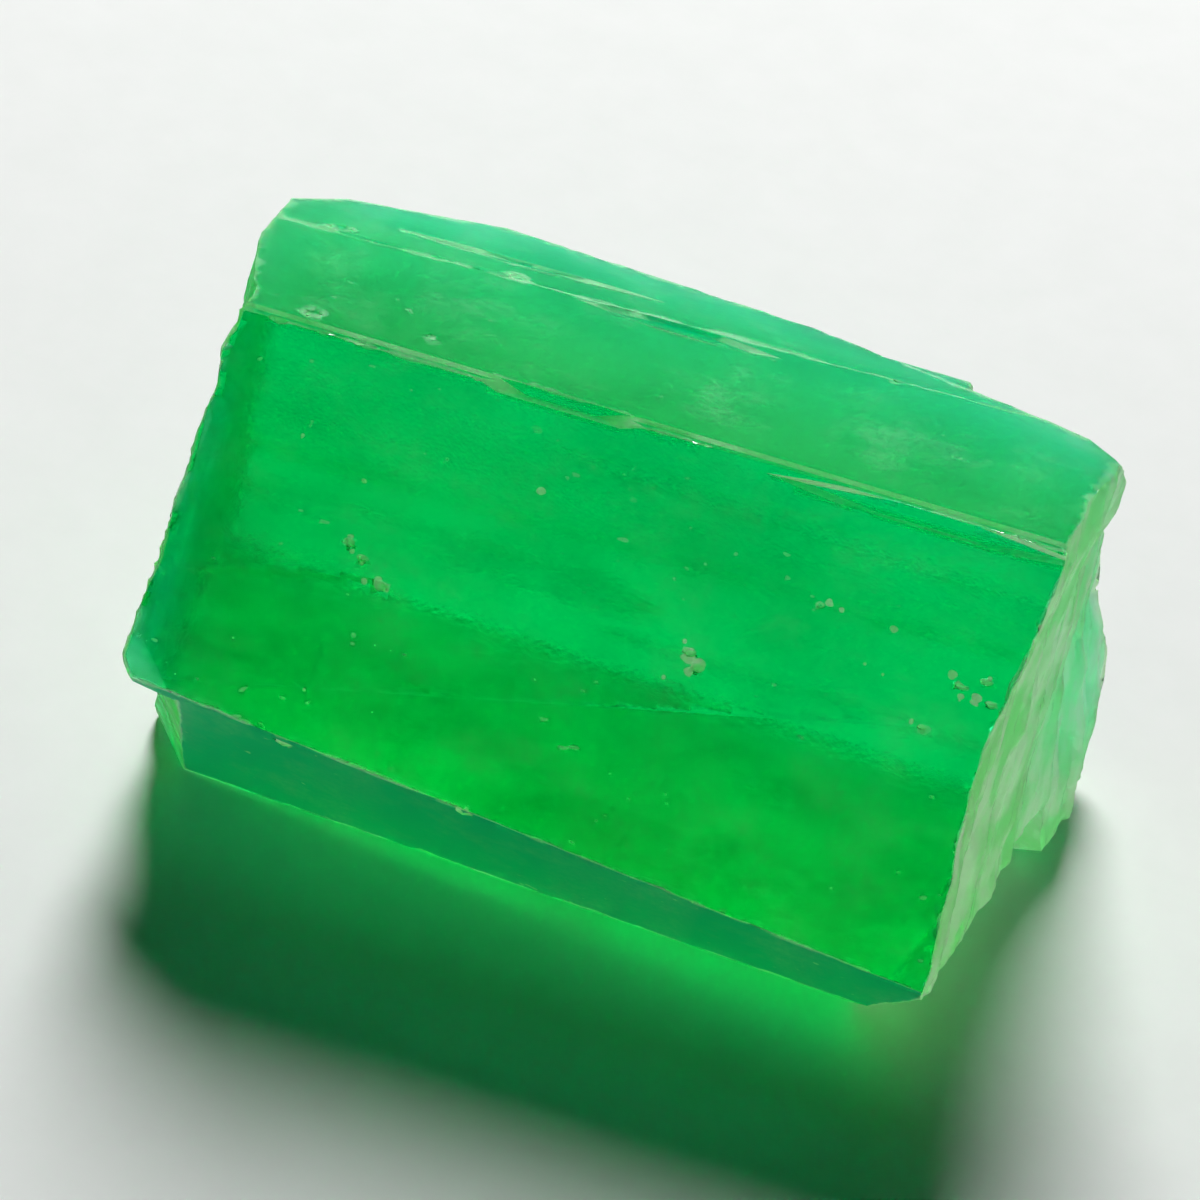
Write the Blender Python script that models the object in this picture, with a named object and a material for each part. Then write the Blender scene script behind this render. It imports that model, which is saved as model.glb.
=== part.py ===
"""Rough emerald crystal, one solid: a stubby six-sided beryl prism snapped across at both ends.

The crystal lies on one of its prism faces with its long (c) axis along X.  +X is the stepped fracture,
-Y is the front and +Z is up.  The crystal is shaped in millimetres and brought to metres at the end.
"""

import math

import bmesh
import bpy
from mathutils import Matrix, Vector, noise

MM = 0.001  # metres in a millimetre
NAME = "emerald_crystal"

# --- driving dimensions, millimetres and degrees ------------------------------------------------
HEIGHT = 5.85  # resting face to top face
RIDGE_Y = -0.61  # front ridge, where the top face meets the big front face
FRONT_LEAN = 60.0  # degrees between the top face and the big front face
LEFT_END = -4.72  # left fracture at the front ridge
RIGHT_END = 4.56  # right fracture at its front rim
BLANK = 30.0  # edge of the block that the faces are cut from

# Prism faces: lean of the outward normal from straight up towards the front, turn about the
# vertical (both degrees), and a point (y, z) that the face passes at mid length.
PRISM_FACES = {
    "top": (0.0, 0.0, RIDGE_Y, HEIGHT),
    "front upper": (FRONT_LEAN, 0.0, RIDGE_Y, HEIGHT),
    "front lower": (112.7, -4.1, -3.07, 1.70),
    "bottom": (180.0, 0.0, 0.0, 0.0),
    "back lower": (240.0, -3.0, 2.45, 0.0),
    "back": (270.0, -1.6, 3.16, 2.50),
    "back upper": (300.0, -5.0, 2.40, 5.43),
    "back bevel": (340.0, 2.3, 1.25, HEIGHT),
}
FACE_ABOVE = {"front lower": "front upper", "back": "back upper", "back lower": "back"}

# Worn corners and uneven flanks of the prism: a point and the outward direction of the flat there.
WORN_FLATS = {
    "back left corner": ((-4.75, 1.97, 5.52), (-0.488, 0.716, 0.50)),
    "back left flank": ((-3.70, 2.44, 5.36), (-0.187, 0.846, 0.50)),
    "back right flank": ((2.10, 1.98, 5.62), (0.186, 0.846, 0.50)),
    "back right corner": ((4.66, 1.23, HEIGHT), (0.43, 0.70, 0.57)),
    "front left corner": ((-4.98, -2.82, 2.03), (-0.78, -0.60, -0.18)),
    "front foot": ((3.71, -2.39, 0.0), (-0.031, -0.711, -0.702)),
    "front right foot": ((4.66, -3.14, 1.18), (0.58, -0.42, -0.70)),
    "back right foot": ((5.35, 1.60, 0.42), (0.50, 0.05, -0.86)),
}

# Fracture relief
CELL_ACROSS = 0.17  # facet size across the step ridges
CELL_ALONG = 0.36  # facet size along them
LEFT_SPREAD = 0.43  # how much further out the left end is at the lower front edge
LEFT_BACK_OUT = 0.30  # and at the back of the top face
RIM_OUT = 0.22  # how far the right fracture stands out at the top face
BACK_OUT = 0.25  # how far it stands out along the back
BULGE_LEDGES = ((2.00, 0.45, 0.22), (0.90, 1.20, 0.30))  # low at its back: height, fall, outward
STEP_PITCH = 0.74  # spacing of its step ridges, counted in from the front face
STEP_RISE = 0.085  # height of those ridges
ROUGH = 0.050  # height of the small relief on it
LEFT_ROUGH = 0.035  # and on the left fracture

GROOVE_SPREAD = 0.5  # how much wider a growth step is at its top, counted in its width
# Growth steps: face, from x, to x, from and to down the face, depth, and the length of each
# pointed end.
GROWTH_STEPS = (
    ("front upper", -2.60, 0.62, -0.30, 0.085, 0.070, 0.60),
    ("front upper", 0.95, 5.60, 0.060, 0.225, 0.070, 0.90),
    ("top", -1.70, 1.40, 1.66, 1.80, 0.045, 0.70),
    ("top", -5.60, 5.60, -0.30, 0.035, 0.035, 0.10),
    ("back bevel", -4.10, 0.00, 0.44, 0.56, 0.040, 0.95),
    ("back", -5.60, 2.10, 0.70, 0.92, 0.070, 0.60),
    ("back", -1.90, 5.60, 1.70, 1.86, 0.060, 0.60),
    ("back upper", -3.10, 3.20, 0.75, 0.95, 0.070, 0.60),
    ("back lower", -5.60, 0.60, 0.50, 0.74, 0.060, 0.60),
    ("back lower", -0.90, 5.60, 1.00, 1.10, 0.050, 0.60),
)

# Pits: place on the face (x, down the face) and radius.
FACE_PITS = {
    "front upper": (
        (-2.89, 2.23, 0.05), (-2.73, 2.36, 0.04), (-2.44, 2.60, 0.07), (1.10, 2.31, 0.06),
        (1.22, 2.45, 0.06), (2.37, 1.38, 0.04), (4.08, 1.80, 0.05), (4.33, 1.67, 0.05),
        (4.44, 1.90, 0.05), (3.78, 2.36, 0.04),
    ),
    "top": ((-3.97, 0.20, 0.06), (-2.65, 0.40, 0.04)),
}
# Nicks along the edges: the face whose upper edge carries them, then x and radius of each.
EDGE_NICKS = {
    "front upper": (
        (-4.30, 0.11), (-3.35, 0.07), (-1.95, 0.08), (-0.75, 0.06), (0.70, 0.08), (2.95, 0.06), (4.10, 0.08),
    ),
    "front lower": ((-4.60, 0.12), (-3.10, 0.07), (-0.90, 0.08), (1.90, 0.10), (3.60, 0.13)),
    "back bevel": ((-4.20, 0.12), (-2.10, 0.08), (2.30, 0.09), (3.70, 0.12)),
    "back lower": ((-3.20, 0.07), (0.40, 0.06), (2.70, 0.07)),
}


def smooth_step(value):
    """0 below 0, 1 above 1, and a smooth rise between them."""
    value = min(1.0, max(0.0, value))
    return value * value * (3.0 - 2.0 * value)


def outward(lean, turn):
    """Outward normal of a prism face from its lean and its turn, in degrees."""
    lean = math.radians(lean)
    normal = Vector((0.0, -math.sin(lean), math.cos(lean)))
    return Matrix.Rotation(math.radians(turn), 3, "Z") @ normal


def cut_face(bm, point, normal):
    """Cut away what lies outside a plane and close the cut with one flat face."""
    geometry = bm.verts[:] + bm.edges[:] + bm.faces[:]
    cut = bmesh.ops.bisect_plane(
        bm, geom=geometry, dist=1e-5, plane_co=point, plane_no=normal, clear_outer=True
    )
    rim = [item for item in cut["geom_cut"] if isinstance(item, bmesh.types.BMEdge)]
    if rim:
        bmesh.ops.edgeloop_fill(bm, edges=rim)


def convex_block(planes):
    """A closed block bounded by (point, outward normal) planes, cut from a large cube."""
    bm = bmesh.new()
    bmesh.ops.create_cube(bm, size=BLANK)
    for point, normal in planes:
        cut_face(bm, point, Vector(normal).normalized())
    bmesh.ops.recalc_face_normals(bm, faces=bm.faces)
    return bm


def as_object(bm, name):
    """Put a bmesh into a new object and link it."""
    mesh = bpy.data.meshes.new(name)
    bm.to_mesh(mesh)
    bm.free()
    item = bpy.data.objects.new(name, mesh)
    bpy.context.collection.objects.link(item)
    return item


def into_triangles(mesh):
    """Split every face into triangles, so that each is exactly flat for the next boolean."""
    bm = bmesh.new()
    bm.from_mesh(mesh)
    bmesh.ops.triangulate(bm, faces=bm.faces)
    bm.to_mesh(mesh)
    bm.free()


def combine(body, tool_bm, operation):
    """Apply one exact boolean to the body and discard the tool."""
    tool = as_object(tool_bm, "tool")
    modifier = body.modifiers.new("combine", "BOOLEAN")
    modifier.operation = operation
    modifier.solver = "EXACT"
    modifier.object = tool
    result = bpy.data.meshes.new_from_object(body.evaluated_get(bpy.context.evaluated_depsgraph_get()))
    body.modifiers.clear()
    into_triangles(result)
    used = body.data
    body.data = result
    bpy.data.meshes.remove(used)
    tool_mesh = tool.data
    bpy.data.objects.remove(tool)
    bpy.data.meshes.remove(tool_mesh)


def slide_to_face(name, point, direction):
    """Slide a point along a direction until it meets a prism face."""
    lean, turn, y, z = PRISM_FACES[name]
    normal = outward(lean, turn)
    return point + direction * ((Vector((0.0, y, z)) - point).dot(normal) / direction.dot(normal))


def face_frame(name):
    """Matrix whose X runs along the crystal, Y down the face (or to the back) and Z out of it.

    Its origin is on the face's upper edge, above the middle of the crystal.
    """
    lean, turn, y, z = PRISM_FACES[name]
    normal = outward(lean, turn)
    along = Vector((1.0, 0.0, 0.0))
    along = (along - normal * along.dot(normal)).normalized()
    faces_front = 0.0 < lean < 180.0
    down = along.cross(normal) if faces_front else normal.cross(along)
    start = Vector((0.0, y, z))
    if name in FACE_ABOVE:
        start = slide_to_face(FACE_ABOVE[name], start, down)
    frame = Matrix((along, down, normal)).transposed().to_4x4()
    frame.translation = start
    return frame


def prism():
    """The crystal before it was broken: flat faces only, longer than the finished piece."""
    planes = [(Vector((0.0, y, z)), outward(lean, turn)) for lean, turn, y, z in PRISM_FACES.values()]
    planes += [(Vector(point), Vector(normal)) for point, normal in WORN_FLATS.values()]
    return convex_block(planes)


def back_ledge():
    """The end of an outer growth layer, left standing on the back edge near the right end."""
    return convex_block((
        (Vector((2.05, 2.05, 5.60)), outward(300.0, -1.6)),
        (Vector((2.60, 1.25, HEIGHT + 0.03)), outward(337.0, 2.3)),
        (Vector((3.08, 2.00, 5.50)), (0.97, 0.22, 0.05)),
        (Vector((1.55, 2.00, 5.50)), (-1.0, 0.0, 0.0)),
        (Vector((2.50, 2.30, 5.02)), (0.0, 0.50, -0.86)),
        (Vector((2.50, 1.45, 5.40)), (0.0, -1.0, 0.0)),
    ))


def inward_of_front(y, z):
    """Distance of a point of the section behind the big front face."""
    lean = math.radians(FRONT_LEAN)
    return (y - RIDGE_Y) * math.sin(lean) - (z - HEIGHT) * math.cos(lean)


def down_the_front(y, z):
    """Distance of a point of the section down the big front face, from its upper edge."""
    lean = math.radians(FRONT_LEAN)
    return -(y - RIDGE_Y) * math.cos(lean) - (z - HEIGHT) * math.sin(lean)


def small_relief(inward, down, seed):
    """Step lines and grain of a fracture, drawn out along the front face, as a share of its height."""
    spot = Vector((inward, down, 0.0))
    broad = noise.noise(spot * 0.50 + Vector((seed, 0.0, 0.0)))
    streak = abs(noise.noise(Vector((1.9 * inward, 0.55 * down, seed))))
    grain = noise.noise(Vector((4.1 * inward, 1.9 * down, seed + 7.0)))
    return 1.3 * broad - 1.6 * streak + 0.9 * grain


def right_relief(y, z):
    """X of the right fracture: step ridges along the front face and a bulge low at the back."""
    inward = inward_of_front(y, z)
    down = down_the_front(y, z)
    warp = 0.30 * noise.noise(Vector((0.5 * inward, 0.45 * down, 2.0)))
    phase = (inward + warp) / STEP_PITCH
    ridge = phase - math.floor(phase)
    ridge = ridge / 0.7 if ridge < 0.7 else (1.0 - ridge) / 0.3
    x = RIGHT_END + STEP_RISE * ridge + ROUGH * small_relief(inward, down, 11.0)
    x += RIM_OUT * smooth_step((z - 4.20) / 1.40)
    x += BACK_OUT * smooth_step((inward - 0.40) / 1.60)
    for height, fall, out in BULGE_LEDGES:
        x += out * smooth_step((inward - 2.60) / 1.80) * (1.0 - smooth_step((z - height) / fall))
    return x


def left_relief(y, z):
    """X of the left fracture: nearly square across, longer towards the lower front edge."""
    inward = inward_of_front(y, z)
    down = down_the_front(y, z)
    lowness = min(1.0, max(0.0, (HEIGHT - z) / 3.8))
    back = LEFT_BACK_OUT * smooth_step((y - RIDGE_Y) / 1.3) * (1.0 - lowness)
    lump = 0.11 * math.exp(-(((down - 0.50) / 0.24) ** 2) - (inward / 0.5) ** 2)
    phase = (0.8 * inward + 0.35 * down) / 1.15
    ridge = abs(2.0 * (phase - math.floor(phase)) - 1.0)
    x = LEFT_END - LEFT_SPREAD * lowness**0.8 - back - lump + 0.06 * ridge
    return x - LEFT_ROUGH * small_relief(inward, down, 23.0)


def fracture_block(relief, side):
    """Everything beyond a fracture: a displaced grid across the crystal, drawn out to a block.

    The grid's rows run down the big front face, so that the step ridges have crisp edges.
    """
    half = 4.6
    lean = math.radians(FRONT_LEAN)
    middle_y, middle_z = 0.0, 0.5 * HEIGHT
    bm = bmesh.new()
    bmesh.ops.create_grid(
        bm, x_segments=int(2.0 * half / CELL_ACROSS), y_segments=int(2.0 * half / CELL_ALONG), size=half
    )
    for vert in bm.verts:
        across, along = vert.co.x, vert.co.y
        spot = Vector((across / CELL_ACROSS, along / CELL_ALONG, side)) * 1.7
        across += 0.25 * CELL_ACROSS * noise.noise(spot)
        along += 0.35 * CELL_ALONG * noise.noise(spot + Vector((9.0, 4.0, 0.0)))
        y = middle_y + across * math.sin(lean) - along * math.cos(lean)
        z = middle_z - across * math.cos(lean) - along * math.sin(lean)
        vert.co = Vector((relief(y, z), y, z))
    far = bmesh.ops.extrude_face_region(bm, geom=bm.faces[:])
    for item in far["geom"]:
        if isinstance(item, bmesh.types.BMVert):
            item.co.x = side * 0.5 * BLANK
    bmesh.ops.recalc_face_normals(bm, faces=bm.faces)
    return bm


def right_undercut():
    """The foot of the right end, snapped away from the front as far back as the bulge."""
    return convex_block((
        (Vector((4.94, -2.96, 1.44)), (-0.824, 0.105, 0.535)),
        (Vector((4.5, 0.78, 0.0)), (0.25, 0.95, 0.10)),
    ))


def left_undercut():
    """The foot of the left end, broken back under the overhanging front corner."""
    return convex_block((
        (Vector((-4.34, -2.91, 1.90)), (0.74, 0.60, 0.215)),
        (Vector((-4.70, -2.85, 1.86)), (0.20, -0.10, 0.97)),
    ))


def growth_step(face, from_x, to_x, from_down, to_down, depth, taper):
    """A long shallow trough between two growth layers, in the frame of its face.

    It runs out to a point at both ends and gets shallower towards them.
    """
    middle = 0.5 * (from_down + to_down)
    spread = GROOVE_SPREAD * (to_down - middle)
    bm = bmesh.new()
    for height, widen, end in ((depth, spread, 0.0), (-depth, 0.0, taper)):
        left, right = from_x + end, to_x - end
        for x, down in (
            (left, middle),
            (left + taper, from_down - widen),
            (right - taper, from_down - widen),
            (right, middle),
            (right - taper, to_down + widen),
            (left + taper, to_down + widen),
        ):
            bm.verts.new((x, down, height))
    bmesh.ops.convex_hull(bm, input=bm.verts)
    bmesh.ops.transform(bm, matrix=face_frame(face), verts=bm.verts)
    bmesh.ops.recalc_face_normals(bm, faces=bm.faces)
    return bm


def pit(centre, radius, frame, index, flatness=0.32):
    """A small faceted hollow: a low-sided ball, squashed into its face and made irregular."""
    bm = bmesh.new()
    bmesh.ops.create_icosphere(bm, subdivisions=1, radius=radius)
    turn = Matrix.Rotation(1.7 * (index + 1), 4, "Z") @ Matrix.Rotation(0.9 * (index + 1), 4, "X")
    bmesh.ops.transform(bm, matrix=turn, verts=bm.verts)
    for vert in bm.verts:
        vert.co *= 1.0 + 0.5 * noise.noise(vert.co / radius * 1.3 + centre)
        vert.co.x *= 1.4
        vert.co.z *= flatness
    bmesh.ops.transform(bm, matrix=frame.to_3x3().to_4x4(), verts=bm.verts)
    bmesh.ops.translate(bm, vec=centre, verts=bm.verts)
    bmesh.ops.recalc_face_normals(bm, faces=bm.faces)
    return bm


def cut_pits(body):
    """Small hollows on the faces and nicks along the edges."""
    for face, pits in FACE_PITS.items():
        frame = face_frame(face)
        for index, (along, down, radius) in enumerate(pits):
            combine(body, pit(frame @ Vector((along, down, 0.0)), radius, frame, index), "DIFFERENCE")
    for face, nicks in EDGE_NICKS.items():
        frame = face_frame(face)
        for index, (along, radius) in enumerate(nicks):
            combine(body, pit(frame @ Vector((along, 0.0, 0.0)), radius, frame, index), "DIFFERENCE")


def crystal():
    """Break, step and pit the prism."""
    body = as_object(prism(), NAME)
    combine(body, back_ledge(), "UNION")
    combine(body, fracture_block(right_relief, 1.0), "DIFFERENCE")
    combine(body, fracture_block(left_relief, -1.0), "DIFFERENCE")
    combine(body, right_undercut(), "DIFFERENCE")
    combine(body, left_undercut(), "DIFFERENCE")
    for step in GROWTH_STEPS:
        combine(body, growth_step(*step), "DIFFERENCE")
    cut_pits(body)
    return body


def rest_at_origin(body):
    """Stand the crystal on Z = 0, its box centred on the Z axis, and bring it to metres."""
    corners = [vert.co for vert in body.data.vertices]
    low = Vector([min(co[axis] for co in corners) for axis in range(3)])
    high = Vector([max(co[axis] for co in corners) for axis in range(3)])
    middle = (low + high) * 0.5
    middle.z = low.z
    body.data.transform(Matrix.Scale(MM, 4) @ Matrix.Translation(-middle))


def emerald():
    """Clear saturated green with a faintly frosted skin."""
    material = bpy.data.materials.new("emerald")
    material.use_nodes = True
    shader = material.node_tree.nodes["Principled BSDF"]
    shader.inputs["Base Color"].default_value = (0.01, 0.42, 0.13, 1.0)
    shader.inputs["Roughness"].default_value = 0.22
    shader.inputs["IOR"].default_value = 1.58
    shader.inputs["Transmission Weight"].default_value = 0.85
    return material


def main():
    for item in list(bpy.data.objects):
        bpy.data.objects.remove(item)
    body = crystal()
    rest_at_origin(body)
    body.data.materials.clear()
    body.data.materials.append(emerald())
    body.data.update()


main()
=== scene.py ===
"""Looks of the rough emerald crystal: fine relief, worn edges, broken ends and clear green stone."""

import math

import bmesh
import bpy
from mathutils import Matrix, Vector, noise
from mathutils.bvhtree import BVHTree


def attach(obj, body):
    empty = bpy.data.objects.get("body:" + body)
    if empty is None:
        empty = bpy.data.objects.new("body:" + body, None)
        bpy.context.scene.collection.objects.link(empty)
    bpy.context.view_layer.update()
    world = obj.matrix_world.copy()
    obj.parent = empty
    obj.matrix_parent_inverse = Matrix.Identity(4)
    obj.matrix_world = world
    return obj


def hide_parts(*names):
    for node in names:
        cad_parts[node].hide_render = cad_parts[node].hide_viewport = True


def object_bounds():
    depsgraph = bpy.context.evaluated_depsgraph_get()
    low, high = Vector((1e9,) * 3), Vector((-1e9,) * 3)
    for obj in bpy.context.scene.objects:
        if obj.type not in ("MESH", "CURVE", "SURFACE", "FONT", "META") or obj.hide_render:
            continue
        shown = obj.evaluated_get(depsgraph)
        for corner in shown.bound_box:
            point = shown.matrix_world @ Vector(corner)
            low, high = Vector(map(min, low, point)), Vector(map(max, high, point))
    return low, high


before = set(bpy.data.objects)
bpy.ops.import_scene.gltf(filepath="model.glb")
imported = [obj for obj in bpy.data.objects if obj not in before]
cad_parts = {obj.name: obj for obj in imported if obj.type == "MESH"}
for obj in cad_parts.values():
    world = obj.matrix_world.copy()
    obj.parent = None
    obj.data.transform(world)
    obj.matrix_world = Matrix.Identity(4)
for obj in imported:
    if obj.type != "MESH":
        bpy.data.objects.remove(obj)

MM = 0.001
CAD_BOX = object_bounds()
NODE = "emerald_crystal"

# --- relief of the stone, metres ------------------------------------------------------------------
CUT_X = 0.12 * MM  # spacing of the cuts across the prism
CUT_Y = 0.10 * MM  # spacing of the cuts along it, from front to back
CUT_Z = 0.085 * MM  # and from bottom to top
BROKEN_LEAN = 0.45  # a face that looks along the prism more than this is a fracture
FRONT_LEAN = -0.2  # a face that looks forward more than this is one of the two at the front
TOP_LEAN = 0.8  # a face that looks up more than this is part of the top
LEVEL_TOP, UNDERSIDE = 0.9, -0.6  # and past these it is the level top, or faces the floor
BACK_LEAN = 0.2  # a face that looks both back and up more than this is behind the top
UP_WALL = 0.6  # a wall of a step or pit that looks up more than this is less ground
FRONT_WALL, TOP_WALL, OTHER_WALL = 0.8, 0.2, 0.5  # how ground the walls of steps and pits are
WELD_GAP = 0.0004 * MM  # points closer than this are one
LEVEL_ANGLE = math.radians(0.4)  # neighbours that lean apart less than this are one flat face
SLIVER = 0.004 * MM  # a narrower patch is taken to face the way its largest neighbour does
CUT_GAP = 0.002 * MM  # a cut this close to a point goes through it
FACE_AREA = 0.9 * MM * MM  # a flat patch larger than this is a crystal face
FLAT_MATCH = 0.9985  # how closely a small patch must face like a crystal face to belong to it
CREST_ANGLE = math.radians(14.0)  # crystal faces that meet more sharply have a crest between them
FLOOR_RIM = 0.05 * MM  # crests lower than this are hidden by the floor
FLOOR_SKIN = 0.001 * MM  # points lower than this stay on the floor
BACK_BREADTH = 1.9  # how much broader the rubbed crest is along the back of the top
END_BREADTH = 1.7  # around the top of the broken ends
LEVEL_BREADTH = 0.8  # and where two faces are nearly level
CREST_REACH = 0.02 * MM  # points nearer to a crest than this are rubbed down with it
CREST_WEAR = 0.012 * MM  # how far crests are rubbed down
CREST_CHIPS = 0.030 * MM  # and how much further in places
CHIP_PITCH, CHIP_FINE_PITCH = 2.6, 9.0  # chips a millimetre, large and small
CHIP_FINE = 0.6  # depth of the small ones in that of the large ones
FACE_RELIEF = 0.0018 * MM  # waves on the crystal faces
FACE_LINES = (0.35, 5.0, 5.0)  # waves a millimetre along each axis, drawn out along the prism
FACE_WAVES, WAVE_HEIGHT = 1.3, 0.8  # broad waves a millimetre, and their height in that of the lines
BROKEN_RELIEF = 0.045 * MM  # grain of the fractures
RIM_RUN = (0.5, 0.866)  # back and up, along the rim beside the big front face
STEP_PLACE = 3.0  # which part of the pattern the steps are taken from
STEP_PITCH = (0.9, 5.5)  # steps a millimetre along the rim and inward
GRAIN_PITCH = (2.0, 2.0, 8.0)  # grain a millimetre along the prism, along the rim and inward
FINE_PITCH = 13.0  # and the finest grain in any direction
STEP_HEIGHT, GRAIN_HEIGHT, FINE_HEIGHT = 1.1, 0.8, 0.3
SHARP = math.radians(28.0)  # faces that meet more sharply are not shaded as one

# --- camera ---------------------------------------------------------------------------------------
CAMERA_UP = math.radians(42.0)
CAMERA_ROUND = math.radians(11.57)
CAMERA_ROLL = math.radians(9.0)
CAMERA_AWAY = 55.0 * MM
CAMERA_LENS = 150.0
SENSOR = 36.0
NEAREST = 1.0 * MM  # nothing closer to the camera than this is drawn
LOOK_AT = Vector((-0.1161, -1.6948, 4.118)) * MM


# --- shape ----------------------------------------------------------------------------------------


def weld(node):
    """A merged copy of a node's loose triangles, with its flat patches joined into single faces."""
    bm = bmesh.new()
    bm.from_mesh(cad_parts[node].data)
    bmesh.ops.remove_doubles(bm, verts=bm.verts, dist=WELD_GAP)
    bmesh.ops.dissolve_limit(bm, angle_limit=LEVEL_ANGLE, verts=bm.verts, edges=bm.edges)
    return bm


def cut_rows(bm, axis, spacing, wanted):
    """Cut the wanted faces by evenly spaced planes across an axis."""
    low, high = CAD_BOX[0][axis], CAD_BOX[1][axis]
    direction = Vector([float(axis == index) for index in range(3)])
    count = int((high - low) / spacing)
    for step in range(1, count + 1):
        place = low + (high - low) * step / (count + 1)
        faces = []
        for face in bm.faces:
            reach = [vert.co[axis] for vert in face.verts]
            if wanted(face.normal) and min(reach) < place < max(reach):
                faces.append(face)
        edges = dict.fromkeys(edge for face in faces for edge in face.edges)
        verts = dict.fromkeys(vert for face in faces for vert in face.verts)
        bmesh.ops.bisect_plane(
            bm, geom=[*verts, *edges, *faces], dist=CUT_GAP, plane_co=direction * place, plane_no=direction
        )


def crystal_planes(bm):
    """Outward normals of the flat crystal faces, found by their size."""
    normals = []
    for face in bm.faces:
        if face.calc_area() > FACE_AREA and abs(face.normal.x) < BROKEN_LEAN:
            if all(face.normal.dot(other) < FLAT_MATCH for other in normals):
                normals.append(face.normal.copy())
    return normals


def facing(face):
    """The way a face looks; a sliver is taken to look the way its largest neighbour does."""
    if face.calc_area() >= SLIVER * max(edge.calc_length() for edge in face.edges):
        return face.normal
    near = [other for edge in face.edges for other in edge.link_faces]
    return max(near, key=lambda other: other.calc_area()).normal


def face_kind(normal, planes):
    """How ground a face is: 0 on a crystal face, 1 on a fracture, between on walls of steps and pits."""
    if abs(normal.x) > BROKEN_LEAN:
        return 1.0
    if any(normal.dot(plane) > FLAT_MATCH for plane in planes):
        return 0.0
    if normal.y < FRONT_LEAN:
        return FRONT_WALL
    return TOP_WALL if normal.z > UP_WALL else OTHER_WALL


def skin_wear_and_shade(normal):
    """How worn the skin is: 0 on the big front face and 1 elsewhere, and 0.5 on the facet under it, which
    marks that facet for painted shade.

    Of the fractures the left one is the clearer, at 0, and the right one is at 1.
    """
    if abs(normal.x) > BROKEN_LEAN:
        return float(normal.x > 0.0)
    if normal.y > FRONT_LEAN or normal.z > LEVEL_TOP or normal.z < UNDERSIDE:
        return 1.0
    return 0.0 if normal.z > 0.0 else 0.5


def mark_kinds(bm, planes):
    """Store how ground and how worn each face is, and which facet gets painted shade, and return the
    crests with their ends and breadth.
    """
    layer = bm.faces.layers.float.new("broken")
    # wear of the skin, with 0.5 marking the facet under the big front face for painted shade
    rubbed_and_shaded = bm.faces.layers.float.new("rubbed_and_shaded")
    for face in bm.faces:
        face[layer] = face_kind(facing(face), planes)
        face[rubbed_and_shaded] = skin_wear_and_shade(facing(face))
    crests = []
    for edge in bm.edges:
        if len(edge.link_faces) == 2 and edge.calc_face_angle_signed(0.0) > CREST_ANGLE:
            kinds = sorted(face[layer] for face in edge.link_faces)
            ends = [vert.co.copy() for vert in edge.verts]
            on_floor = max(end.z for end in ends) < CAD_BOX[0][2] + FLOOR_RIM
            turned = facing(edge.link_faces[0]).angle(facing(edge.link_faces[1])) > CREST_ANGLE
            if kinds[0] == 0.0 and kinds[1] in (0.0, 1.0) and turned and not on_floor:
                crests.append((ends[0], ends[1], crest_breadth(edge)))
    return crests


def crest_breadth(edge):
    """How broadly a crest is rubbed white: most behind the top, least where two faces are near level."""
    normals = [face.normal for face in edge.link_faces]
    if all(normal.y > BACK_LEAN and normal.z > BACK_LEAN for normal in normals):
        return BACK_BREADTH
    tops = [normal for normal in normals if normal.z > TOP_LEAN]
    if tops and any(abs(normal.x) > BROKEN_LEAN for normal in normals):
        return END_BREADTH
    return LEVEL_BREADTH if len(tops) == len(normals) else 1.0


def thin_tree(crests):
    """A search tree of the crests, each as a triangle without area."""
    points = [point for start, end, _ in crests for point in (start, end, end)]
    faces = [(index, index + 1, index + 2) for index in range(0, len(points), 3)]
    return BVHTree.FromPolygons(points, faces, all_triangles=True)


def relief(place, broken):
    """Height of the surface grain in metres: along the prism on its faces, along the rim on fractures."""
    spot = place / MM
    if broken < 1.0:
        lines = noise.noise(Vector([pitch * spot[axis] for axis, pitch in enumerate(FACE_LINES)]))
        waves = noise.noise(spot * FACE_WAVES)
        return FACE_RELIEF * (lines + WAVE_HEIGHT * waves)
    inward = RIM_RUN[1] * spot.y - RIM_RUN[0] * spot.z
    along = RIM_RUN[0] * spot.y + RIM_RUN[1] * spot.z
    steps = noise.noise(Vector((STEP_PLACE, STEP_PITCH[0] * along, STEP_PITCH[1] * inward)))
    grain = noise.noise(Vector((GRAIN_PITCH[0] * spot.x, GRAIN_PITCH[1] * along, GRAIN_PITCH[2] * inward)))
    fine = noise.noise(spot * FINE_PITCH)
    return BROKEN_RELIEF * (STEP_HEIGHT * steps + GRAIN_HEIGHT * grain + FINE_HEIGHT * fine)


def roughen(bm, crests):
    """Give the surface its fine relief and rub down its crests."""
    tree = thin_tree(crests)
    kind = bm.faces.layers.float["broken"]
    gap_layer = bm.verts.layers.float.new("edge_gap")
    moves = []
    for vert in bm.verts:
        _, _, nearest, gap = tree.find_nearest(vert.co)
        vert[gap_layer] = gap / MM / crests[nearest][2]
        broken = min(face[kind] for face in vert.link_faces)
        move = vert.normal * relief(vert.co, broken)
        if gap < CREST_REACH:
            spot = vert.co / MM
            chip = noise.noise(spot * CHIP_PITCH) + CHIP_FINE * noise.noise(spot * CHIP_FINE_PITCH)
            move -= vert.normal * (CREST_WEAR + CREST_CHIPS * max(0.0, chip))
        moves.append(move)
    low, high = Vector(CAD_BOX[0]), Vector(CAD_BOX[1])
    for vert, move in zip(bm.verts, moves):
        on_floor = vert.co.z < low.z + FLOOR_SKIN
        place = vert.co + move
        if on_floor:
            place.z = vert.co.z
        vert.co = Vector([min(max(place[axis], low[axis]), high[axis]) for axis in range(3)])


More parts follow.
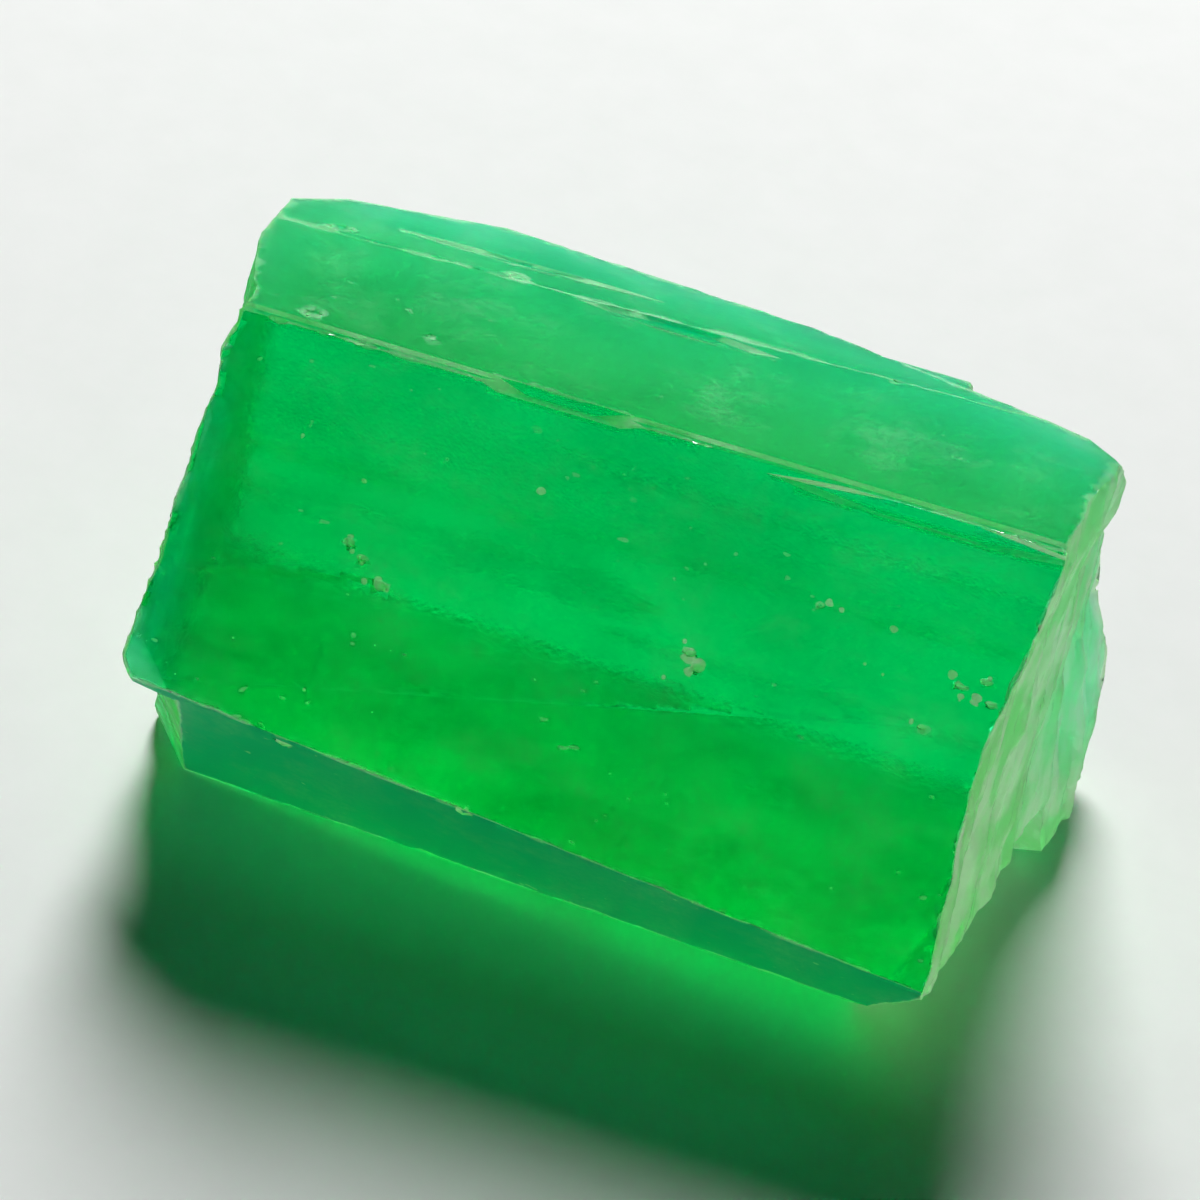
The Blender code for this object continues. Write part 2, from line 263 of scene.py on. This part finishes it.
def emerald_crystal():
    """The finished stone, which stands for the plain solid."""
    bm = weld(NODE)
    planes = crystal_planes(bm)
    crests = mark_kinds(bm, planes)
    cut_rows(bm, 0, CUT_X, lambda normal: abs(normal.x) < BROKEN_LEAN)
    cut_rows(bm, 2, CUT_Z, lambda normal: abs(normal.z) < 0.85)
    cut_rows(bm, 1, CUT_Y, lambda normal: abs(normal.y) < 0.55)
    bmesh.ops.triangulate(bm, faces=[face for face in bm.faces if len(face.verts) > 4])
    roughen(bm, crests)
    mesh = bpy.data.meshes.new("emerald_crystal_stone")
    bm.to_mesh(mesh)
    bm.free()
    mesh.shade_smooth()
    mesh.set_sharp_from_angle(angle=SHARP)
    stone = bpy.data.objects.new("emerald_crystal_stone", mesh)
    bpy.context.collection.objects.link(stone)
    mesh.materials.append(emerald())
    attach(stone, "root")
    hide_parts(NODE)
    return stone


# --- finish ---------------------------------------------------------------------------------------

EMERALD_IOR = 1.58
STONE_TINT = (0.0, 0.969, 0.880, 1.0)  # colour left by the stone's absorption
STONE_DEPTH = 3000.0  # how strongly it absorbs, per metre
CLEAR = (0.60, 1.0, 0.85, 1.0)  # the clear skin
DEEP = (0.42, 0.82, 0.68, 1.0)  # darker clouds in it
SHADED_FACET_TINT = (0.01, 0.42, 0.22, 1.0)  # painted shade: a dark green for the facet under the big front face, which lies in shade
FROST = (0.55, 1.0, 0.46, 1.0)  # ground surfaces
CHALK = (0.82, 1.0, 0.72, 1.0)  # and the palest streaks on them
GLINT = (0.02, 0.55, 0.25, 1.0)  # tint of the reflections seen straight on
GLINT_LEVEL = 0.3
SMOOTH, GROUND = 0.19, 0.86  # roughness of the clear front skin, and of the dull or ground one
ROUGH_WANDER = (-0.03, 0.04)  # how far the roughness wanders from that
BUMP_STRENGTH, BUMP_HEIGHT = 0.3, 0.02 * MM
BUMP_LINES, BUMP_GRAIN, BUMP_STREAKS = 0.5, 0.35, 1.2

# Patterns of the skin: spots a metre, how close they lie along each axis, steps of detail, contrast,
# and a turn about the prism. The streaks run down the fractures, beside the big front face.
PATTERNS = {
    "patches": (700.0, (0.6, 1.0, 1.0), 2.0, 0.6, 0.0),
    "clouds": (1500.0, (0.7, 1.0, 1.0), 3.0, 0.68, 0.0),
    "speckle": (9000.0, (0.6, 1.0, 1.0), 1.0, 0.6, 0.0),
    "ragged": (5000.0, (0.45, 1.0, 1.0), 2.0, 0.6, 0.0),
    "grain": (16000.0, (0.8, 1.0, 1.0), 1.0, 0.6, 0.0),
    "streaks": (1500.0, (1.0, 3.2, 0.45), 3.0, 0.66, math.radians(30.0)),
    "veils": (900.0, (1.0, 0.22, 0.22), 1.0, 0.6, 0.0),
    "lines": (2600.0, (0.10, 1.0, 1.0), 2.0, 0.65, 0.0),
}

CREST_BREADTH = (0.018, 0.115)  # least and most breadth of a rubbed crest, millimetres
CREST_SWELL = (0.35, 1.15)  # how it shrinks and swells along its length
CREST_FRONT = 0.45  # and how much narrower it is on the clear front skin
CREST_FADE = (0.10, 1.10)  # where its paleness starts and ends to fade, in its breadth
CREST_PALENESS = (0.62, 0.5)  # how pale it is on the dull skin and on the clear one
HAZE_CLOUDS, HAZE_VEILS = 0.16, 0.08  # most haze of each kind
HAZE_GRAIN = 0.45  # least share of it between the grains
HAZE_FRONT = 0.5  # share of it on the clear front skin
SPECK_PALENESS, FLECK_PALENESS = 0.42, 0.85
CHALK_STREAKS, CHALK_CLOUDS, CHALK_WANDER = 0.6, 0.4, 0.07  # what the chalky streaks are mixed from
FROST_CLEAR, CHALK_CLEAR = 0.60, 0.40  # share of the light that ground surfaces still let through
LEFT_CLEARER = 0.32  # how much more the left fracture lets through
SHADED_FACET_CLEAR = 0.46  # share that the facet under the big front face lets through, lowered as part of its painted shade

# Chips on the big front face, millimetres: along the prism, down the face, and radius.
FRONT_START = Vector((-0.1161, -0.6448, 5.85))
FRONT_DOWN = Vector((0.0, -0.5, -0.866))
FLECK_WANDER = (0.55, 1.7)  # how ragged their rims are
FLECKS = (
    (-2.89, 2.20, 0.035), (-2.84, 2.32, 0.045), (-2.70, 2.42, 0.030), (-2.62, 2.60, 0.050),
    (-2.47, 2.55, 0.070), (-2.36, 2.62, 0.045), (1.02, 2.20, 0.035), (1.10, 2.38, 0.050),
    (1.24, 2.42, 0.045), (1.14, 2.52, 0.040), (0.90, 2.66, 0.030), (2.44, 1.32, 0.035),
    (2.60, 1.36, 0.025), (3.20, 1.40, 0.030), (3.95, 1.72, 0.040), (4.10, 1.90, 0.045),
    (4.28, 1.86, 0.055), (4.36, 1.62, 0.040), (3.66, 2.34, 0.030), (-0.95, 1.06, 0.030),
    (-3.70, 1.22, 0.035), (-2.90, 1.52, 0.025), (3.00, 1.86, 0.025), (3.22, 1.92, 0.022),
    (-2.98, 4.00, 0.028),
)


class Graph:
    """Short calls for adding shader nodes and links to one material."""

    def __init__(self, material):
        self.tree = material.node_tree

    def add(self, kind, inputs=None, **settings):
        """A new node with its settings made and its inputs filled or linked."""
        node = self.tree.nodes.new(kind)
        for name, value in settings.items():
            setattr(node, name, value)
        for key, value in (inputs or {}).items():
            if isinstance(value, bpy.types.NodeSocket):
                self.link(value, node.inputs[key])
            else:
                node.inputs[key].default_value = value
        return node

    def link(self, value, socket):
        self.tree.links.new(value, socket)

    def mark(self, name):
        """A value that the piece's mesh carries."""
        return self.add("ShaderNodeAttribute", attribute_name=name).outputs["Fac"]

    def math(self, operation, first, second=0.0):
        return self.add("ShaderNodeMath", {0: first, 1: second}, operation=operation).outputs[0]

    def most(self, first, second):
        return self.math("MAXIMUM", first, second)

    def share(self, first, second):
        return self.math("MULTIPLY", first, second)

    def ramp(self, value, low, high, to_low=0.0, to_high=1.0):
        """A smooth change from to_low to to_high while the value rises from low to high."""
        node = self.add(
            "ShaderNodeMapRange",
            {"Value": value, "From Min": low, "From Max": high, "To Min": to_low, "To Max": to_high},
            interpolation_type="SMOOTHSTEP",
        )
        return node.outputs["Result"]

    def blend(self, factor, first, second):
        """The first colour where the factor is 0 and the second where it is 1."""
        node = self.add("ShaderNodeMix", {"Factor": factor, "A": first, "B": second}, data_type="RGBA")
        return node.outputs["Result"]

    def noise(self, scale, stretch, detail, roughness, turn):
        """A cloud pattern on the object's own coordinates, turned and then drawn out."""
        place = self.add("ShaderNodeTexCoord").outputs["Object"]
        turned = self.add("ShaderNodeMapping", {"Vector": place, "Rotation": (turn, 0.0, 0.0)})
        drawn = self.add("ShaderNodeMapping", {"Vector": turned.outputs[0], "Scale": stretch})
        texture = self.add(
            "ShaderNodeTexNoise",
            {"Vector": drawn.outputs[0], "Scale": scale, "Detail": detail, "Roughness": roughness},
        )
        return texture.outputs["Fac"]


def chipped_spots(graph, ragged):
    """Small pale chips on the big front face, 1 inside them."""
    place = graph.add("ShaderNodeTexCoord").outputs["Object"]
    wander = graph.ramp(ragged, 0.35, 0.65, *FLECK_WANDER)
    spots = None
    for along, down, radius in FLECKS:
        spot = FRONT_START + FRONT_DOWN * down + Vector((along, 0.0, 0.0))
        gap = graph.add(
            "ShaderNodeVectorMath", {0: place, 1: spot * MM}, operation="DISTANCE"
        ).outputs["Value"]
        inside = graph.math("LESS_THAN", graph.share(gap, wander), radius * MM)
        spots = inside if spots is None else graph.most(spots, inside)
    return spots


def rubbed_crests(graph, skin, front):
    """Paleness of the rubbed crests, which is less on the clear front skin."""
    breadth = graph.ramp(skin["ragged"], 0.30, 0.64, *CREST_BREADTH)
    breadth = graph.share(breadth, graph.ramp(skin["clouds"], 0.38, 0.62, *CREST_SWELL))
    breadth = graph.share(breadth, graph.ramp(front, 0.0, 1.0, 1.0, CREST_FRONT))
    away = graph.math("DIVIDE", graph.mark("edge_gap"), breadth)
    crest = graph.ramp(away, *CREST_FADE, 1.0, 0.0)
    return graph.share(crest, graph.ramp(front, 0.0, 1.0, *CREST_PALENESS))


def haze(graph, skin, front):
    """Faint cloudiness of the skin, thinner on the clear front skin."""
    clouds = graph.ramp(skin["clouds"], 0.45, 0.75, 0.0, HAZE_CLOUDS)
    veils = graph.ramp(skin["veils"], 0.52, 0.72, 0.0, HAZE_VEILS)
    grains = graph.ramp(skin["grain"], 0.35, 0.65, HAZE_GRAIN, 1.0)
    thin = graph.ramp(front, 0.0, 1.0, 1.0, HAZE_FRONT)
    return graph.share(graph.share(graph.math("ADD", clouds, veils), grains), thin)


def specks(graph, skin):
    """Pale dots strewn over the skin, and the chips of the big front face."""
    dots = graph.share(graph.ramp(skin["speckle"], 0.70, 0.78), graph.ramp(skin["patches"], 0.42, 0.62))
    chips = chipped_spots(graph, skin["ragged"])
    return graph.most(graph.share(dots, SPECK_PALENESS), graph.share(chips, FLECK_PALENESS))


def chalky(graph, skin):
    """Streaks of the ground surfaces, 1 where they are palest."""
    mixed = graph.math(
        "ADD", graph.share(skin["streaks"], CHALK_STREAKS), graph.share(skin["clouds"], CHALK_CLOUDS)
    )
    wander = graph.ramp(skin["patches"], 0.3, 0.7, -CHALK_WANDER, CHALK_WANDER)
    return graph.ramp(graph.math("ADD", mixed, wander), 0.36, 0.66)


def emerald():
    """Clear saturated green stone, ground on its fractures, crests, pits and steps, with painted shade on
    the facet under the big front face.
    """
    material = bpy.data.materials.new("emerald")
    material.use_nodes = True
    graph = Graph(material)
    shader = material.node_tree.nodes["Principled BSDF"]
    output = material.node_tree.nodes["Material Output"]

    skin = {name: graph.noise(*values) for name, values in PATTERNS.items()}
    broken, rubbed_and_shaded = graph.mark("broken"), graph.mark("rubbed_and_shaded")
    fracture = graph.ramp(broken, 0.6, 1.0)
    front = graph.share(graph.ramp(broken, 0.6, 1.0, 1.0, 0.0), graph.ramp(rubbed_and_shaded, 0.5, 1.0, 1.0, 0.0))
    # painted shade mask: 1 on the facet under the big front face, whose skin is marked 0.5
    shaded_facet = graph.ramp(graph.math("ABSOLUTE", graph.math("SUBTRACT", rubbed_and_shaded, 0.5)), 0.0, 0.2, 1.0, 0.0)
    ground = graph.most(rubbed_crests(graph, skin, front), broken)
    ground = graph.most(ground, graph.most(haze(graph, skin, front), specks(graph, skin)))
    pale = chalky(graph, skin)

    body = graph.blend(graph.ramp(skin["patches"], 0.40, 0.64), CLEAR, DEEP)
    # painted shade: that facet takes a dark green
    body = graph.blend(shaded_facet, body, SHADED_FACET_TINT)
    graph.link(graph.blend(ground, body, graph.blend(pale, FROST, CHALK)), shader.inputs["Base Color"])

    clearer = graph.share(graph.math("SUBTRACT", 1.0, rubbed_and_shaded), graph.share(fracture, LEFT_CLEARER))
    opened = graph.math("ADD", graph.ramp(pale, 0.0, 1.0, FROST_CLEAR, CHALK_CLEAR), clearer)
    clear = graph.math("SUBTRACT", 1.0, graph.share(ground, graph.math("SUBTRACT", 1.0, opened)))
    # painted shade: that facet also lets less light through
    clear = graph.share(clear, graph.ramp(shaded_facet, 0.0, 1.0, 1.0, SHADED_FACET_CLEAR))
    graph.link(clear, shader.inputs["Transmission Weight"])

    rough = graph.ramp(graph.most(ground, rubbed_and_shaded), 0.0, 1.0, SMOOTH, GROUND)
    rough = graph.math("ADD", rough, graph.ramp(skin["patches"], 0.3, 0.7, *ROUGH_WANDER))
    graph.link(rough, shader.inputs["Roughness"])
    shader.inputs["IOR"].default_value = EMERALD_IOR
    shader.inputs["Specular IOR Level"].default_value = GLINT_LEVEL
    shader.inputs["Specular Tint"].default_value = GLINT

    lines = graph.share(skin["lines"], BUMP_LINES)
    height = graph.math("ADD", lines, graph.share(skin["grain"], BUMP_GRAIN))
    height = graph.math("ADD", height, graph.share(skin["streaks"], graph.share(fracture, BUMP_STREAKS)))
    bumps = {"Height": height, "Strength": BUMP_STRENGTH, "Distance": BUMP_HEIGHT}
    graph.link(graph.add("ShaderNodeBump", bumps).outputs["Normal"], shader.inputs["Normal"])

    stone = graph.add("ShaderNodeVolumeAbsorption", {"Color": STONE_TINT, "Density": STONE_DEPTH})
    graph.link(stone.outputs["Volume"], output.inputs["Volume"])
    return material


FLOOR_TONES = ((0.80, 0.82, 0.80, 1.0), (0.86, 0.87, 0.86, 1.0))
FLOOR_MOTTLE = (1200.0, (1.0, 1.0, 1.0), 4.0, 0.6, 0.0)


def pale_floor():
    """Plain pale matt floor."""
    material = bpy.data.materials.new("pale_floor")
    material.use_nodes = True
    graph = Graph(material)
    shader = material.node_tree.nodes["Principled BSDF"]
    graph.link(graph.blend(graph.noise(*FLOOR_MOTTLE), *FLOOR_TONES), shader.inputs["Base Color"])
    shader.inputs["Roughness"].default_value = 0.9
    shader.inputs["Specular IOR Level"].default_value = 0.1
    return material


# --- studio ---------------------------------------------------------------------------------------

FLOOR_REACH = 400.0 * MM
FLOOR_DROP = 0.004 * MM  # the floor lies this far under the stone
LIGHT_AWAY = 180.0 * MM
# Lights: name, degrees round from the back towards +X, degrees up, breadth and power.
LIGHTS = (
    ("key_light", -14.0, 41.0, 69.0 * MM, 0.46),
    ("low_card", 145.0, 0.6, 3.2 * MM, 0.12),
)
SKY = (0.9, 0.95, 1.0, 1.0)
SKY_STRENGTH = 0.0015
BOUNCES = 10
NOISE_LIMIT = 0.2


def floor():
    """A pale table top under the crystal."""
    bm = bmesh.new()
    bmesh.ops.create_grid(bm, x_segments=1, y_segments=1, size=FLOOR_REACH)
    bmesh.ops.translate(bm, vec=(0.0, 0.0, -FLOOR_DROP), verts=bm.verts)
    mesh = bpy.data.meshes.new("floor")
    bm.to_mesh(mesh)
    bm.free()
    mesh.materials.append(pale_floor())
    item = bpy.data.objects.new("floor", mesh)
    bpy.context.collection.objects.link(item)


def soft_light(name, round_deg, up_deg, breadth, power):
    """A round soft box aimed at the crystal."""
    light = bpy.data.lights.new(name, "AREA")
    light.shape = "DISK"
    light.size = breadth
    light.energy = power
    item = bpy.data.objects.new(name, light)
    turn, rise = math.radians(round_deg), math.radians(up_deg)
    outward = Vector((math.sin(turn) * math.cos(rise), math.cos(turn) * math.cos(rise), math.sin(rise)))
    item.location = outward * LIGHT_AWAY
    item.rotation_euler = outward.to_track_quat("Z", "Y").to_euler()
    bpy.context.collection.objects.link(item)


def camera():
    """Camera looking down on the big front face, tilted a little to one side."""
    data = bpy.data.cameras.new("camera")
    data.lens = CAMERA_LENS
    data.sensor_width = SENSOR
    data.clip_start = NEAREST
    item = bpy.data.objects.new("camera", data)
    bpy.context.collection.objects.link(item)
    flat = math.cos(CAMERA_UP)
    back = Vector((math.sin(CAMERA_ROUND) * flat, -math.cos(CAMERA_ROUND) * flat, math.sin(CAMERA_UP)))
    right = Vector((math.cos(CAMERA_ROUND), math.sin(CAMERA_ROUND), 0.0))
    up = back.cross(right)
    side = right * math.cos(CAMERA_ROLL) + up * math.sin(CAMERA_ROLL)
    top = up * math.cos(CAMERA_ROLL) - right * math.sin(CAMERA_ROLL)
    place = Matrix((side, top, back)).transposed().to_4x4()
    place.translation = LOOK_AT + back * CAMERA_AWAY
    item.matrix_world = place
    bpy.context.scene.camera = item


def studio():
    """Floor, soft light and camera."""
    floor()
    for light in LIGHTS:
        soft_light(*light)
    world = bpy.data.worlds.new("studio")
    world.use_nodes = True
    sky = world.node_tree.nodes["Background"]
    sky.inputs["Color"].default_value = SKY
    sky.inputs["Strength"].default_value = SKY_STRENGTH
    scene = bpy.context.scene
    scene.world = world
    scene.view_settings.view_transform = "Standard"
    scene.cycles.use_denoising = True
    scene.cycles.adaptive_threshold = NOISE_LIMIT
    scene.cycles.max_bounces = BOUNCES
    scene.cycles.transmission_bounces = BOUNCES
    camera()


emerald_crystal()
studio()
